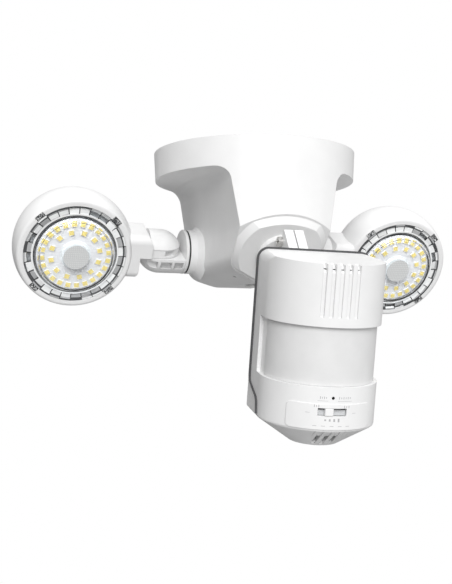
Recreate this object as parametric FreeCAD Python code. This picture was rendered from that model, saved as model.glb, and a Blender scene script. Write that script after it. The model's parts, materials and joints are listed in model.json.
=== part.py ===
"""Twin-head LED security light with a motion sensor, for a ceiling or eave box.

Frame: millimetres, +Z up, -Y to the front, origin at the centre of the canopy's mounting plane.
Each lamp arm turns about the X axis in its boss and each lamp head pans on its knuckle. The sensor
arm swivels on the sloping face of the canopy and the sensor tilts on its ball.
"""
import FreeCAD, Part
import math
import os

V = FreeCAD.Vector
X_AXIS, Y_AXIS, Z_AXIS = V(1, 0, 0), V(0, 1, 0), V(0, 0, 1)
ORIGIN = V(0, 0, 0)
FAR = 400.0                      # larger than the whole light, for half-space tools

# ---- canopy and column
RIM_R = 62.0                     # canopy radius at the mounting plane
DRAFT = 0.05                     # radius lost per millimetre of height
CANOPY_H = 17.0
WALL = 3.0
COLUMN_TOP_HALF = 33.9           # column half width under the canopy
COLUMN_MID_HALF, COLUMN_MID_Z = 27.9, -51.0
COLUMN_LOW_HALF = 27.6
COLUMN_BOTTOM_Z = -81.0
COLUMN_REAR_Y = 46.0             # where the rear bottom slope begins
FLARE_R, WAIST_R, BOTTOM_R = 9.0, 25.0, 10.0
BOTTOM_CORNER_Z, BOTTOM_FLAT_HALF = -73.0, 8.0     # the sides turn in here, down to the flat bottom
SLOPE_SUM = -104.7               # the sensor face is the plane y + z = SLOPE_SUM, 45 degrees
PAD_R_LOW, PAD_R_TOP, PAD_H = 28.5, 24.8, 3.4
PAD_FRONT_R = 58.7
POST_R = 5.5
BOLT_R = 2.5
COVER_T, COVER_HALF = 1.6, 38.0
COVER_Z = -CANOPY_H + WALL       # floor of the canopy, under the cover plate
RUNNING_GAP = 0.05               # radial clearance of every shaft in its bore
SEAT_GAP = 0.15                  # play between stacked or nested parts that may turn
RIM_SEAL_R, RIM_SEAL_T = 60.2, 1.8
RIM_GROOVE_INNER_R = 57.6
COVER_SCREW_X, COVER_SCREW_Y, COVER_SCREW_R = 34.8, 28.0, 1.4
GROMMET_Y, GROMMET_R, GROMMET_BORE_R, GROMMET_LIP = 28.0, 6.0, 3.4, 1.0
PLUG_R, PLUG_LIP_R, PLUG_LIP_T = 4.2, 5.4, 0.8
BOLT_SEAT_Z = COLUMN_BOTTOM_Z + 11.0
DRAIN_X, DRAIN_Y, DRAIN_R = -17.5, -14.0, 1.0
GROUND_X, GROUND_R = 16.0, 2.0
WASHER_R, WASHER_T = 9.6, 1.5
NUT_FLATS, NUT_T = 16.0, 5.5

# ---- mounting strap
STRAP_LENGTH, STRAP_WIDTH, STRAP_T = 112.0, 18.0, 2.0
BOX_SCREW_SPACING = 88.9         # ceiling box screws, 3.5 inches apart
BOX_SLOT_HALF, BOX_SLOT_LENGTH = 2.3, 14.0

# ---- lamp arms and heads
ARM_Y, ARM_Z = 30.0, -58.0
BOSS_R, BOSS_END_X = 14.0, 35.5
SEAL_T = 0.8
FLANGE_T = 2.0
PIVOT_X = 52.9                   # knuckle centre
KNUCKLE_R = 13.8
SPLIT_HALF = 0.1                 # half the gap between the knuckle's two halves
POCKET_SPANS, POCKET_V = ((-13.2, -7.6), (-6.0, 1.2), (3.0, 11.0)), 9.6
POCKET_LOW, POCKET_HIGH = -6.8, -1.9
PIVOT_R, PIVOT_SEAT_W = 2.0, -9.0
DRUM_R, DRUM_TOP = 12.3, 5.6     # inset wall under the dome of the knuckle's upper half
STUB_R, STUB_BORE_R = 6.0, 4.0
HEAD_X = 107.0                   # bowl centre
BOWL_R, BOWL_WALL = 36.8, 2.6
BEZEL_T = 12.3                   # bezel plane, in front of the bowl centre
BEZEL_EDGE_R = 2.2
RING_R, CAVITY_R = 31.2, 29.0
CUP_R, CUP_FRONT_R, CUP_FRONT_T, CUP_WALL = 25.3, 22.4, 17.0, 1.0
BOARD_TOP, BOARD_T = 12.6, 1.6      # face of the lamp board, in front of the bowl centre
NECK_INNER_U, NECK_LOW_U, NECK_HALF = 7.1, 14.3, 14.0
NECK_OUTER_U = 30.0
NECK_SCREWS = ((-7.5, 6.4), (7.5, 12.0))           # height on the neck, shank length
NECK_SCREW_SEAT_U = HEAD_X - PIVOT_X - BOWL_R + BOWL_WALL + 1.3
RING_BACK_T, RING_FOOT_T = 8.6, 9.0                # shelf under the clear ring, and its foot
CUP_FLANGE_T, CUP_FOOT_T = 8.9, 7.7
SEAL_BACK_T = 6.3
TAB_HALF, TAB_REACH, TAB_T = 2.9, 2.6, 1.7
PLATE_BACK_T, PLATE_T = 4.0, 8.0                   # heatsink plate
FIN_HALF, FIN_PITCH, FIN_BACK_T = 0.8, 5.0, -8.0
BOARD_HOLE_R = 1.5
HEAD_TILT = 30.0                 # rest tilt of the arms, fronts down
HEAD_PAN = {"left": -2.0, "right": -2.0}
RING_CELLS = 28
LED_RINGS = ((12, 15.0, 15.0), (24, 20.4, 7.5))   # count, radius, start angle
LED_SIDE, LED_H = 3.3, 0.8
CAP_R, CAP_FLANGE_R = 8.2, 9.5

# ---- sensor arm
ARM_NORMAL = V(0, -1, -1).normalize()              # out of the sloping face
FACE_UP = V(0, -1, 1).normalize()
FOOT = V(0, -41.1, -63.6)                          # swivel axis on the sloping face
DISC_R = 14.8
DISC_BACK, DISC_FRONT = 4.3, 6.9
BALL = V(0, -60.0, -72.0)
BALL_R, BALL_CORE_R = 8.0, 2.5
CLAMP_HALF, CLAMP_GAP_HALF = 5.8, 0.4
CLAMP_SCREW_Y, CLAMP_SCREW_Z = -60.3, -61.0

# ---- sensor head, in its own frame: gasket plane y = 0, front -y, top z = 0
SENSOR_ORIGIN = V(0.5, -93.3, -69.5)
SENSOR_PAN, SENSOR_TILT, SENSOR_ROLL = -7.7, 10.9, 1.8
SENSOR_HALF = 30.7
SENSOR_AXIS_Y = -21.5
SENSOR_ROOF_R = 5.5
SENSOR_WALL = 2.5
WINDOW_TOP, WINDOW_BOTTOM = -33.7, -63.3
BAND_INSET, BAND_START_Y = 2.0, -13.5
LENS_HALF_ANGLE = 90.0
ROOF_DROP = 2.8                  # the roof falls this much from the gasket to the front
SKIRT_Z, FLOOR_Z, FLOOR_R = -85.5, -97.0, 13.0
SENSOR_REAR_Y, SENSOR_REAR_R = 8.0, 4.0
CASE_SCREW_SEAT = 4.6
CASE_SCREW_X, CASE_SCREW_HEIGHTS, CASE_HOLE_R = 23.6, (-13.0, -60.0), 1.2
PYRO_Z = -48.0
BOARD_FRONT_Y, BOARD_REAR_Y = -4.0, -2.4
SKIN_CLEAR = 0.02                # keeps a cutting tool from lying exactly in a skin
PARTING = ((0.0, 2.0, 0), (0.0, -70.5, 5.0), (-19.0, -76.5, 5.0), (-26.0, -101.0, 0))
GASKET_T, GASKET_PROUD = 1.3, 1.0
PANEL_HALF, PANEL_TOP, PANEL_BOTTOM, PANEL_RISE = 21.5, -71.8, -84.6, 0.5
SLOT_HALF, SLOT_Z, SLOT_HALF_H = 7.4, -75.7, 1.95
SLIDER_HALF, SLIDER_STEP = 2.15, 3.4
SLIDER_X = -SLIDER_STEP / 2      # the second of four places
SLIT_LOW = 0.9                   # the slider's stem runs above this, measured from SLOT_Z
GROOVE_PITCH, GROOVE_WIDTH, GROOVE_DEPTH = 4.3, 2.0, 1.1
GROOVE_BOTTOM = -29.0
VENT_HALF, VENT_DEPTH, VENT_TOP, VENT_LOW = 1.1, 0.7, -1.2, -19.0
DRAIN_TOP, DRAIN_LOW = -8.0, -16.5                 # the open stretch of the middle vents
EYE_Z = -68.6


# ---------------------------------------------------------------- helpers
def box(x0, x1, y0, y1, z0, z1):
    return Part.makeBox(x1 - x0, y1 - y0, z1 - z0, V(x0, y0, z0))


def rod(radius, start, end):
    return Part.makeCylinder(radius, (end - start).Length, start, end - start)


def tube(outer, inner, start, end):
    return rod(outer, start, end).cut(rod(inner, start, end))


def joined(shapes):
    result = shapes[0]
    for shape in shapes[1:]:
        result = result.fuse(shape)
    return result.removeSplitter()


def moved(shape, place):
    result = shape.copy()
    result.Placement = place.multiply(result.Placement)
    return result


def outline(points, to_space):
    """Closed wire through (u, v, radius) corners, each rounded by a tangent arc of its radius."""
    flat = [V(u, v, 0) for u, v, _ in points]
    corners = []
    for i, (_, _, radius) in enumerate(points):
        here, before, after = flat[i], flat[i - 1], flat[(i + 1) % len(flat)]
        if radius <= 0:
            corners.append((here, None, here))
            continue
        back, ahead = (before - here).normalize(), (after - here).normalize()
        half = back.getAngle(ahead) / 2
        reach = radius / math.tan(half)
        bisector = (back + ahead).normalize()
        middle = here + bisector * (radius / math.sin(half) - radius)
        corners.append((here + back * reach, middle, here + ahead * reach))
    edges = []
    for i, (start, middle, end) in enumerate(corners):
        if middle is not None:
            edges.append(Part.Arc(to_space(start), to_space(middle), to_space(end)).toShape())
        following = corners[(i + 1) % len(corners)][0]
        if (following - end).Length > 1e-6:
            edges.append(Part.LineSegment(to_space(end), to_space(following)).toShape())
    return Part.Wire(edges)


def prism_x(points, x0, x1):
    """Outline of (y, z, radius) corners, extruded along X."""
    return Part.Face(outline(points, lambda p: V(x0, p.x, p.y))).extrude(V(x1 - x0, 0, 0))


def prism_y(points, y0, y1):
    """Outline of (x, z, radius) corners, extruded along Y."""
    return Part.Face(outline(points, lambda p: V(p.x, y0, p.y))).extrude(V(0, y1 - y0, 0))


def prism_z(points, z0, z1):
    """Outline of (x, y, radius) corners, extruded along Z."""
    return Part.Face(outline(points, lambda p: V(p.x, p.y, z0))).extrude(V(0, 0, z1 - z0))


def turned(points):
    """Solid of revolution about Z from (radius, z, corner radius) corners."""
    return Part.Face(outline(points, lambda p: V(p.x, 0, p.y))).revolve(ORIGIN, Z_AXIS, 360)


def mirrored_profile(half_points):
    """Closed outline that is symmetric about u = 0, from its u > 0 half, top to bottom."""
    return list(half_points) + [(-u, v, radius) for u, v, radius in reversed(half_points)]


def hexagon(across_flats, start, end):
    """Hexagonal prism between two points."""
    radius = across_flats / math.sqrt(3)
    length = (end - start).Length
    corners = [(radius * math.cos(i * math.pi / 3), radius * math.sin(i * math.pi / 3), 0)
               for i in range(6)]
    turn = FreeCAD.Rotation(Z_AXIS, end - start)
    return moved(prism_z(corners, 0, length), FreeCAD.Placement(start, turn))


def cross_screw(start, end, shank_r, head_r, head_h):
    """Pan-head screw: the head lies behind start, the shank runs to end, with a cross recess."""
    along = (end - start).normalize()
    top = start - along * head_h
    screw = rod(shank_r, start, end).fuse(rod(head_r, top, start))
    side = along.cross(X_AXIS) if abs(along.x) < 0.9 else along.cross(Z_AXIS)
    turn = FreeCAD.Rotation(X_AXIS, side, along, "ZXY")
    for long, wide in ((head_r * 1.1, head_r * 0.28), (head_r * 0.28, head_r * 1.1)):
        slot = box(-long / 2, long / 2, -wide / 2, wide / 2, -0.01, head_h * 0.55)
        screw = screw.cut(moved(slot, FreeCAD.Placement(top, turn)))
    return screw


# ---------------------------------------------------------------- canopy
def cone_radius(z):
    return RIM_R + DRAFT * z


def column_section(inset):
    """Front view of the canopy and column, with every face moved inwards by inset."""
    return mirrored_profile((
        (RIM_R + 5 - inset, 1, 0),
        (RIM_R + 5 - inset, -CANOPY_H + inset, 0),
        (COLUMN_TOP_HALF - inset, -CANOPY_H + inset, FLARE_R - inset / 2),
        (COLUMN_MID_HALF - inset, COLUMN_MID_Z, WAIST_R),
        (COLUMN_LOW_HALF - inset, BOTTOM_CORNER_Z + inset / 2, BOTTOM_R - inset),
        (BOTTOM_FLAT_HALF, COLUMN_BOTTOM_Z + inset, BOTTOM_R)))


def column_side(inset):
    """Side view of the same, with the 45 degree sensor face and the rising rear."""
    slope = SLOPE_SUM + inset * math.sqrt(2)
    bottom = COLUMN_BOTTOM_Z + inset
    front = -RIM_R - 5
    return ((front, 1, 0), (front, slope - front, 0), (slope - bottom, bottom, 3.0),
            (COLUMN_REAR_Y - inset, bottom + 1.5, 16.0),
            (RIM_R + 1 - inset, -46.0, 6.0), (RIM_R + 1 - inset, 1, 0))


def canopy_envelope(inset):
    height = -COLUMN_BOTTOM_Z + 5
    radius = RIM_R - inset
    cone = Part.makeCone(radius, radius - DRAFT * height, height, ORIGIN, V(0, 0, -1))
    return cone.common(prism_y(column_section(inset), -FAR, FAR)).common(
        prism_x(column_side(inset), -FAR, FAR))


def sensor_pad():
    """Low round pad on the sensor face, its front cut upright just behind the canopy's skin."""
    start = FOOT - ARM_NORMAL
    lean = (PAD_R_LOW - PAD_R_TOP) / PAD_H
    pad = Part.makeCone(PAD_R_LOW + lean, PAD_R_TOP, PAD_H + 1, start, ARM_NORMAL)
    pad = pad.common(rod(PAD_FRONT_R, V(0, 0, 0), V(0, 0, -FAR)))
    edge = COLUMN_LOW_HALF - 0.2
    keep = mirrored_profile(((edge, 0, 0), (edge, BOTTOM_CORNER_Z + 0.3, BOTTOM_R),
                             (BOTTOM_FLAT_HALF, COLUMN_BOTTOM_Z + 0.4, BOTTOM_R)))
    return pad.common(prism_y(keep, -FAR, FAR))


def canopy_body():
    inner = canopy_envelope(WALL)
    outer = canopy_envelope(0)
    body = outer.fuse(sensor_pad()).cut(inner)
    for sign in (-1, 1):
        root = V(sign * (COLUMN_LOW_HALF - 2.5), ARM_Y, ARM_Z)
        face = V(sign * BOSS_END_X, ARM_Y, ARM_Z)
        body = body.fuse(rod(BOSS_R, root, face).cut(inner))
        flare = Part.makeCone(BOSS_R + 4.5, BOSS_R, 4.5, root + V(sign * 1.5, 0, 0), V(sign, 0, 0))
        body = body.fuse(flare.cut(inner))
    boss = rod(DISC_R, FOOT, FOOT + ARM_NORMAL * (DISC_BACK - SEAL_T))
    body = body.fuse(boss)
    post = rod(POST_R, V(0, 0, COLUMN_BOTTOM_Z + 1), V(0, 0, COVER_Z))
    body = body.fuse(post)
    for sign in (-1, 1):
        body = body.cut(rod(STUB_R + RUNNING_GAP, V(sign * 18, ARM_Y, ARM_Z),
                            V(sign * (BOSS_END_X + 1), ARM_Y, ARM_Z)))
    body = body.cut(rod(STUB_R + RUNNING_GAP, FOOT - ARM_NORMAL * 8, FOOT + ARM_NORMAL * 9))
    body = body.cut(rod(BOLT_R + 0.3, V(0, 0, COLUMN_BOTTOM_Z - 1), V(0, 0, 0)))
    body = body.cut(rod(PLUG_R, V(0, 0, COLUMN_BOTTOM_Z - 1), V(0, 0, BOLT_SEAT_Z)))
    body = body.cut(rim_groove())
    for x, y in cover_screw_places():
        body = body.cut(rod(COVER_SCREW_R, V(x, y, -CANOPY_H - 1), V(x, y, COVER_Z + 1)))
    drain = rod(DRAIN_R, V(DRAIN_X, DRAIN_Y, COLUMN_BOTTOM_Z - 2),
                V(DRAIN_X, DRAIN_Y, COLUMN_BOTTOM_Z + 8))
    return body.cut(drain).removeSplitter()


def rim_groove():
    return tube(RIM_SEAL_R, RIM_GROOVE_INNER_R, V(0, 0, -RIM_SEAL_T), V(0, 0, 1))


def cover_screw_places():
    return [(sx * COVER_SCREW_X, sy * COVER_SCREW_Y) for sx in (-1, 1) for sy in (-1, 1)]


def canopy_gasket():
    return tube(RIM_SEAL_R, cone_radius(0) - WALL, V(0, 0, -RIM_SEAL_T), ORIGIN)


def mounting_strap():
    half, wide = STRAP_LENGTH / 2, STRAP_WIDTH / 2
    corners = ((-half, -wide, 6), (half, -wide, 6), (half, wide, 6), (-half, wide, 6))
    strap = prism_z(corners, -STRAP_T, 0)
    reach = BOX_SLOT_LENGTH / 2
    for sign in (-1, 1):
        middle = sign * BOX_SCREW_SPACING / 2
        slot = [(middle + x, y, BOX_SLOT_HALF - 1e-4) for x, y in (
            (-reach, -BOX_SLOT_HALF), (reach, -BOX_SLOT_HALF), (reach, BOX_SLOT_HALF),
            (-reach, BOX_SLOT_HALF))]
        strap = strap.cut(prism_z(slot, -STRAP_T - 1, 1))
    strap = strap.cut(rod(BOLT_R, V(0, 0, -STRAP_T - 1), V(0, 0, 1)))
    return strap.cut(rod(GROUND_R, V(GROUND_X, 0, -STRAP_T - 1), V(GROUND_X, 0, 1)))


def center_bolt():
    bolt = rod(BOLT_R, V(0, 0, BOLT_SEAT_Z), V(0, 0, -0.2))
    head = rod(4.0, V(0, 0, BOLT_SEAT_Z - 3.2), V(0, 0, BOLT_SEAT_Z))
    socket = hexagon(4.0, V(0, 0, BOLT_SEAT_Z - 3.3), V(0, 0, BOLT_SEAT_Z - 1.2))
    return bolt.fuse(head).cut(socket)


def bolt_plug():
    stem = rod(PLUG_R, V(0, 0, COLUMN_BOTTOM_Z), V(0, 0, COLUMN_BOTTOM_Z + 5))
    return stem.fuse(rod(PLUG_LIP_R, V(0, 0, COLUMN_BOTTOM_Z - PLUG_LIP_T), V(0, 0, COLUMN_BOTTOM_Z)))


def ground_screw():
    return cross_screw(V(GROUND_X, 0, -STRAP_T), V(GROUND_X, 0, -0.1), GROUND_R, 3.9, 2.4)


def through_cover(radius, x, y):
    """Tool that goes right through the cover plate at x, y."""
    return rod(radius, V(x, y, COVER_Z - 1), V(x, y, COVER_Z + 3))


def cover_plate():
    corners = mirrored_profile(((COVER_HALF, -FAR, 0), (COVER_HALF, FAR, 0)))
    plate = prism_z(corners, COVER_Z, COVER_Z + COVER_T).common(
        through_cover(cone_radius(COVER_Z) - WALL - 0.4, 0, 0))
    plate = plate.cut(through_cover(BOLT_R + 0.3, 0, 0)).cut(through_cover(GROMMET_R, 0, GROMMET_Y))
    for x, y in cover_screw_places():
        plate = plate.cut(through_cover(COVER_SCREW_R, x, y))
    return plate


def cover_plate_screws():
    top = COVER_Z + COVER_T
    return Part.makeCompound([cross_screw(V(x, y, top), V(x, y, -CANOPY_H + 0.4), COVER_SCREW_R, 2.7, 1.6)
                              for x, y in cover_screw_places()])


def wire_grommet():
    ring = tube(GROMMET_R, GROMMET_BORE_R, V(0, GROMMET_Y, COVER_Z), V(0, GROMMET_Y, COVER_Z + COVER_T))
    lips = [tube(GROMMET_R + 2.0, GROMMET_BORE_R, V(0, GROMMET_Y, z), V(0, GROMMET_Y, z + GROMMET_LIP))
            for z in (COVER_Z - GROMMET_LIP, COVER_Z + COVER_T)]
    return joined([ring] + lips)


def driver_module():
    corners = ((-21, -40, 3), (21, -40, 3), (21, -18.2, 3), (-21, -18.2, 3))
    return prism_y(corners, 12, 47)


# ---------------------------------------------------------------- joints in the canopy
def washer_and_nut(face, out):
    """Washer and lock nut on a stub, against the inner wall at face, seen along out."""
    washer = tube(WASHER_R, STUB_R, face - out * WASHER_T, face)
    nut_face = face - out * (WASHER_T + 0.1)
    nut = hexagon(NUT_FLATS, nut_face - out * NUT_T, nut_face)
    return washer, nut.cut(rod(STUB_R, nut_face - out * (NUT_T + 1), nut_face))


def arm_seal(center, out, radius):
    return tube(radius - 0.5, STUB_R + 2.0, center, center + out * SEAL_T)


# ---------------------------------------------------------------- lamp arm, right-hand side
# u runs outboard along the arm, v to the rear and w up, from the knuckle centre.
def below():
    return box(-FAR, FAR, -FAR, FAR, -FAR, -SPLIT_HALF)


def above():
    return box(-FAR, FAR, -FAR, FAR, SPLIT_HALF, FAR)


def knuckle():
    flange_u = BOSS_END_X + SEAL_T + 0.1 - PIVOT_X
    flange_end = flange_u + FLANGE_T
    low = rod(KNUCKLE_R, V(flange_end, 0, 0), ORIGIN).fuse(Part.makeSphere(KNUCKLE_R))
    low = low.common(below())
    for sign in (-1, 1):
        near, deep = sorted((sign * POCKET_V, sign * (KNUCKLE_R + 1)))
        for u0, u1 in POCKET_SPANS:
            low = low.cut(box(u0, u1, near, deep, POCKET_LOW, POCKET_HIGH))
    flange = rod(BOSS_R, V(flange_u, 0, 0), V(flange_end, 0, 0))
    flange = flange.makeChamfer(0.5, [e for e in flange.Edges if len(e.Vertexes) == 1])
    stub = rod(STUB_R, V(flange_u, 0, 0), V(-36.0, 0, 0))
    bore = rod(STUB_BORE_R, V(flange_u + 1, 0, 0), V(-37.0, 0, 0))
    arm = joined([low, flange, stub]).cut(bore)
    arm = arm.cut(rod(PIVOT_R, V(0, 0, -KNUCKLE_R - 1), V(0, 0, 1)))
    return arm.cut(rod(3.6, V(0, 0, -KNUCKLE_R - 1), V(0, 0, PIVOT_SEAT_W)))


def pivot_screw():
    return cross_screw(V(0, 0, PIVOT_SEAT_W), V(0, 0, 8.0), PIVOT_R, 3.4, 2.4)


def head_neck():
    """Neck block against the bowl and the upper half of the knuckle, one moulding."""
    section = ((-NECK_HALF, -NECK_HALF, 5), (NECK_HALF, -NECK_HALF, 5),
               (NECK_HALF, NECK_HALF, 5), (-NECK_HALF, NECK_HALF, 5))
    block = prism_x(section, NECK_INNER_U, NECK_OUTER_U)
    side = ((NECK_INNER_U, SPLIT_HALF, 0), (NECK_INNER_U, NECK_HALF - 5.0, 1.5),
            (NECK_INNER_U + 3.0, NECK_HALF + 0.5, 1.5), (NECK_OUTER_U, NECK_HALF + 0.5, 0),
            (NECK_OUTER_U, -NECK_HALF - 0.5, 0), (NECK_LOW_U + 1.8, -NECK_HALF - 0.5, 0),
            (NECK_LOW_U, -NECK_HALF + 4.0, 1.5), (NECK_LOW_U, SPLIT_HALF, 0))
    block = block.common(prism_y(side, -FAR, FAR))
    dome = Part.makeSphere(KNUCKLE_R).fuse(rod(KNUCKLE_R, ORIGIN, V(NECK_INNER_U + 1, 0, 0)))
    dome = dome.common(above())
    drum = box(-KNUCKLE_R, NECK_INNER_U, -KNUCKLE_R, KNUCKLE_R, 0, DRUM_TOP)
    core = rod(DRUM_R, ORIGIN, V(0, 0, DRUM_TOP)).fuse(box(0, NECK_INNER_U, -DRUM_R, DRUM_R, 0, DRUM_TOP))
    dome = dome.cut(drum.cut(core))
    for sign in (-1, 1):
        near, deep = sorted((sign * 9.2, sign * KNUCKLE_R))
        dome = dome.cut(box(-7.4, -1.4, near, deep, 1.4, DRUM_TOP - 0.7))
    neck = joined([block, dome]).cut(Part.makeSphere(BOWL_R, V(HEAD_X - PIVOT_X, 0, 0)))
    neck = neck.cut(rod(PIVOT_R + RUNNING_GAP, V(0, 0, -1), V(0, 0, 8.4)))
    for screw in neck_screw_list():
        neck = neck.cut(screw)
    return neck


def neck_screw_list():
    seat = NECK_SCREW_SEAT_U
    return [cross_screw(V(seat, 0, w), V(seat - length, 0, w), 1.6, 3.0, 1.8)
            for w, length in NECK_SCREWS]


# Bowl pieces: turned about the facing direction, t measured forward from the bowl centre.
def facing(shape):
    return moved(shape, FreeCAD.Placement(V(HEAD_X - PIVOT_X, 0, 0),
                                          FreeCAD.Rotation(X_AXIS, 90)))


def disc(radius, t0, t1):
    return rod(radius, V(0, 0, t0), V(0, 0, t1))


def around(count, start_angle, shape):
    return [moved(shape, FreeCAD.Placement(ORIGIN, FreeCAD.Rotation(
        Z_AXIS, start_angle + 360.0 * i / count))) for i in range(count)]


def tab_boxes(clearance):
    half = TAB_HALF + clearance
    block = box(RING_R - 1.5, RING_R + TAB_REACH + clearance, -half, half,
                BEZEL_T - TAB_T - clearance, BEZEL_T + clearance * 4)
    return around(4, 45, block)


def head_shell():
    ball = Part.makeSphere(BOWL_R).common(box(-FAR, FAR, -FAR, FAR, -FAR, BEZEL_T))
    rim = [e for e in ball.Edges if abs(e.CenterOfMass.z - BEZEL_T) < 1e-3]
    ball = ball.makeFillet(BEZEL_EDGE_R, rim)
    hollow = disc(CAVITY_R, -FAR, RING_BACK_T).common(Part.makeSphere(BOWL_R - BOWL_WALL))
    shell = ball.cut(hollow).cut(disc(RING_R, RING_BACK_T, FAR))
    for block in tab_boxes(SEAT_GAP):
        shell = shell.cut(block)
    shell = facing(shell)
    seat = NECK_SCREW_SEAT_U
    for (w, _), screw in zip(NECK_SCREWS, neck_screw_list()):
        shell = shell.cut(screw).cut(rod(3.2, V(seat, 0, w), V(seat + 6, 0, w)))
    return shell


def lens_ring():
    """Clear ribbed ring round the cup, with four tabs in the bezel."""
    ring = disc(RING_R - SEAT_GAP, RING_FOOT_T, BEZEL_T - 0.1).cut(disc(CUP_R + 0.1, 8, BEZEL_T))
    inner, outer = CUP_R + 1.3, RING_R - 1.2
    arc = math.radians(360.0 / RING_CELLS) * 0.40
    corners = [(r * math.cos(a), r * math.sin(a), 0)
               for r, a in ((inner, -arc), (outer, -arc), (outer, arc), (inner, arc))]
    for cell in around(RING_CELLS, 0, prism_z(corners, BEZEL_T - 1.9, BEZEL_T + 1)):
        ring = ring.cut(cell)
    tabs = [block.cut(disc(RING_R - 0.3, 0, 20)) for block in tab_boxes(0.0)]
    return joined([ring] + tabs)


def lens_cover():
    """Clear cup over the lamps: a sloping wall, a flat front and a foot flange."""
    thick, foot_r = CUP_WALL, CAVITY_R - 0.2
    return turned(((0, CUP_FRONT_T, 0), (CUP_FRONT_R, CUP_FRONT_T, 0.6), (CUP_R, 11.6, 0.3),
                   (CUP_R, CUP_FLANGE_T, 0), (foot_r, CUP_FLANGE_T, 0), (foot_r, CUP_FOOT_T, 0),
                   (CUP_R - thick, CUP_FOOT_T, 0), (CUP_R - thick, 11.4, 0.3),
                   (CUP_FRONT_R - thick, CUP_FRONT_T - thick, 0.5), (0, CUP_FRONT_T - thick, 0)))


def lens_gasket():
    return disc(CAVITY_R, SEAL_BACK_T, CUP_FOOT_T).cut(disc(CUP_R + 0.3, 6, 8))


def heatsink():
    """Aluminium plate with cooling fins behind it."""
    plate = disc(CUP_R - 1.8, PLATE_BACK_T, PLATE_T)
    hoop = disc(CAVITY_R - 0.1, PLATE_BACK_T, SEAL_BACK_T).cut(disc(CUP_R - 2.0, 3, 7))
    fins = [box(-20, 20, i * FIN_PITCH - FIN_HALF, i * FIN_PITCH + FIN_HALF, FIN_BACK_T,
                PLATE_BACK_T + 0.2) for i in range(-3, 4)]
    pedestal = disc(CUP_FRONT_R - 1.0, PLATE_T, BOARD_TOP - BOARD_T)
    return joined([plate, hoop, pedestal] + fins).cut(disc(BOARD_HOLE_R, -2, BOARD_TOP))


def led_board():
    board = disc(CUP_R - 2.3, BOARD_TOP - BOARD_T, BOARD_TOP)
    return board.cut(disc(BOARD_HOLE_R, PLATE_T, BOARD_TOP + 1))


def leds():
    half = LED_SIDE / 2
    chips = []
    for count, radius, start in LED_RINGS:
        chip = box(radius - half, radius + half, -half, half, BOARD_TOP, BOARD_TOP + LED_H)
        chips += around(count, start, chip)
    return Part.makeCompound(chips)


def board_screw():
    return cross_screw(V(0, 0, BOARD_TOP), V(0, 0, BOARD_TOP - 7.0), BOARD_HOLE_R, 2.8, 1.1)


def center_cap():
    """Low flat cap with a thin flange over the middle screw."""
    t = BOARD_TOP
    return turned(((0, t + 1.9, 0), (CAP_R, t + 1.5, 0.5), (CAP_R + 0.4, t + 0.5, 0),
                   (CAP_FLANGE_R, t + 0.4, 0), (CAP_FLANGE_R, t, 0), (CAP_R - 0.6, t, 0),
                   (CAP_R - 1.0, t + 0.9, 0.2), (0, t + 1.3, 0)))


HEAD_PIECES = {"head_neck": head_neck, "head_shell": head_shell,
               "neck_screws": lambda: Part.makeCompound(neck_screw_list())}
for piece in (lens_ring, lens_cover, lens_gasket, heatsink, led_board, leds, board_screw, center_cap):
    HEAD_PIECES[piece.__name__] = lambda piece=piece: facing(piece())


def side_pieces(side):
    """Every piece of one lamp arm and head, in place."""
    pieces = {}
    sign = -1 if side == "left" else 1
    out = V(sign, 0, 0)
    inner_face = V(sign * (COLUMN_LOW_HALF - WALL - SEAT_GAP), ARM_Y, ARM_Z)
    pieces["arm_seal"] = arm_seal(V(sign * BOSS_END_X, ARM_Y, ARM_Z), out, BOSS_R)
    pieces["arm_washer"], pieces["arm_nut"] = washer_and_nut(inner_face, out)
    pivot = V(sign * PIVOT_X, ARM_Y, ARM_Z)
    tilt = FreeCAD.Placement(pivot, FreeCAD.Rotation(X_AXIS, HEAD_TILT))
    pan = FreeCAD.Placement(ORIGIN, FreeCAD.Rotation(Z_AXIS, HEAD_PAN[side]))

    def in_place(shape, place):
        if side == "left":
            shape = shape.mirror(ORIGIN, X_AXIS)
        return moved(shape, place)

    pieces["knuckle"] = in_place(knuckle(), tilt)
    pieces["pivot_screw"] = in_place(pivot_screw(), tilt)
    for name, make in HEAD_PIECES.items():
        pieces[name] = in_place(make(), tilt.multiply(pan))
    return {side + "_" + name: shape for name, shape in pieces.items()}


# ---------------------------------------------------------------- sensor arm
def stem_opening():
    """Room in front of the ball for the sensor's stem over its whole tilt."""
    y, z = BALL.y, BALL.z
    return prism_x(((y + 2, z + 4.7, 0), (y - 35, z + 4.7, 0), (y - 35, z - 36, 0),
                    (y - 27, z - 30, 0), (y + 3, z - 3.6, 0)), -FAR, FAR)


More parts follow.
